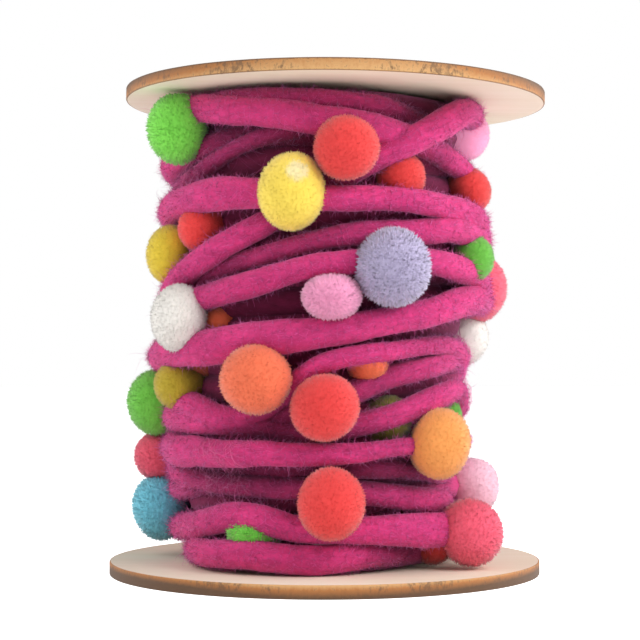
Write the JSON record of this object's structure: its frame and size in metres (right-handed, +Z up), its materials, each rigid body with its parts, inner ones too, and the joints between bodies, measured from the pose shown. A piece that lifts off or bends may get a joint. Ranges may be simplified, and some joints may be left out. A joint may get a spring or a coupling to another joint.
{
  "type": "roll of pompom trim",
  "caption": "Roll of thick felted cord trimmed with small wool pompoms, wound between two thin round wooden discs.",
  "frame": {"origin": "centre of the bottom disc's underside, on the surface that the roll stands on", "axes": "+Z up along the roll's axis; -Y the side that faces the viewer; +X to the viewer's right"},
  "size_m": [0.1017, 0.1, 0.1126],
  "materials": {
    "birch_plywood": "matte",
    "felted_cord": "matte",
    "pile_red": "matte",
    "pile_coral": "matte",
    "pile_orange": "matte",
    "pile_amber": "matte",
    "pile_yellow": "matte",
    "pile_mustard": "matte",
    "pile_olive": "matte",
    "pile_green": "matte",
    "pile_teal": "matte",
    "pile_lavender": "matte",
    "pile_pink": "matte",
    "pile_pale_pink": "matte",
    "pile_white": "matte"
  },
  "bodies": {
    "root": {"disc_bottom": "birch_plywood", "disc_top": "birch_plywood", "pompom_01_green": "pile_green", "pompom_02_red": "pile_red", "pompom_03_yellow": "pile_yellow", "pompom_04_red": "pile_red", "pompom_05_red": "pile_red", "pompom_06_pale_pink": "pile_pale_pink", "pompom_07_red": "pile_red", "pompom_08_mustard": "pile_mustard", "pompom_09_lavender": "pile_lavender", "pompom_10_green": "pile_green", "pompom_11_coral": "pile_coral", "pompom_12_pink": "pile_pink", "pompom_13_white": "pile_white", "pompom_14_orange": "pile_orange", "pompom_15_white": "pile_white", "pompom_16_orange": "pile_orange", "pompom_17_red": "pile_red", "pompom_18_orange": "pile_orange", "pompom_19_olive": "pile_olive", "pompom_20_green": "pile_green", "pompom_21_mustard": "pile_mustard", "pompom_22_coral": "pile_coral", "pompom_23_teal": "pile_teal", "pompom_24_amber": "pile_amber", "pompom_25_green": "pile_green", "pompom_26_red": "pile_red", "pompom_27_pale_pink": "pile_pale_pink", "pompom_28_coral": "pile_coral", "pompom_29_green": "pile_green", "pompom_30_red": "pile_red", "pompom_31_orange": "pile_orange", "pompom_32_yellow": "pile_yellow", "pompom_33_orange": "pile_orange", "pompom_34_lavender": "pile_lavender", "pompom_35_teal": "pile_teal", "pompom_36_white": "pile_white", "pompom_37_red": "pile_red", "pompom_38_pink": "pile_pink", "pompom_39_coral": "pile_coral", "pompom_40_amber": "pile_amber", "pompom_41_teal": "pile_teal", "pompom_42_green": "pile_green", "pompom_43_red": "pile_red", "pompom_44_lavender": "pile_lavender", "pompom_45_mustard": "pile_mustard", "pompom_46_pink": "pile_pink", "pompom_47_orange": "pile_orange", "pompom_48_red": "pile_red", "pompom_49_white": "pile_white", "pompom_50_yellow": "pile_yellow", "winding": "felted_cord"}
  },
  "joints": []
}
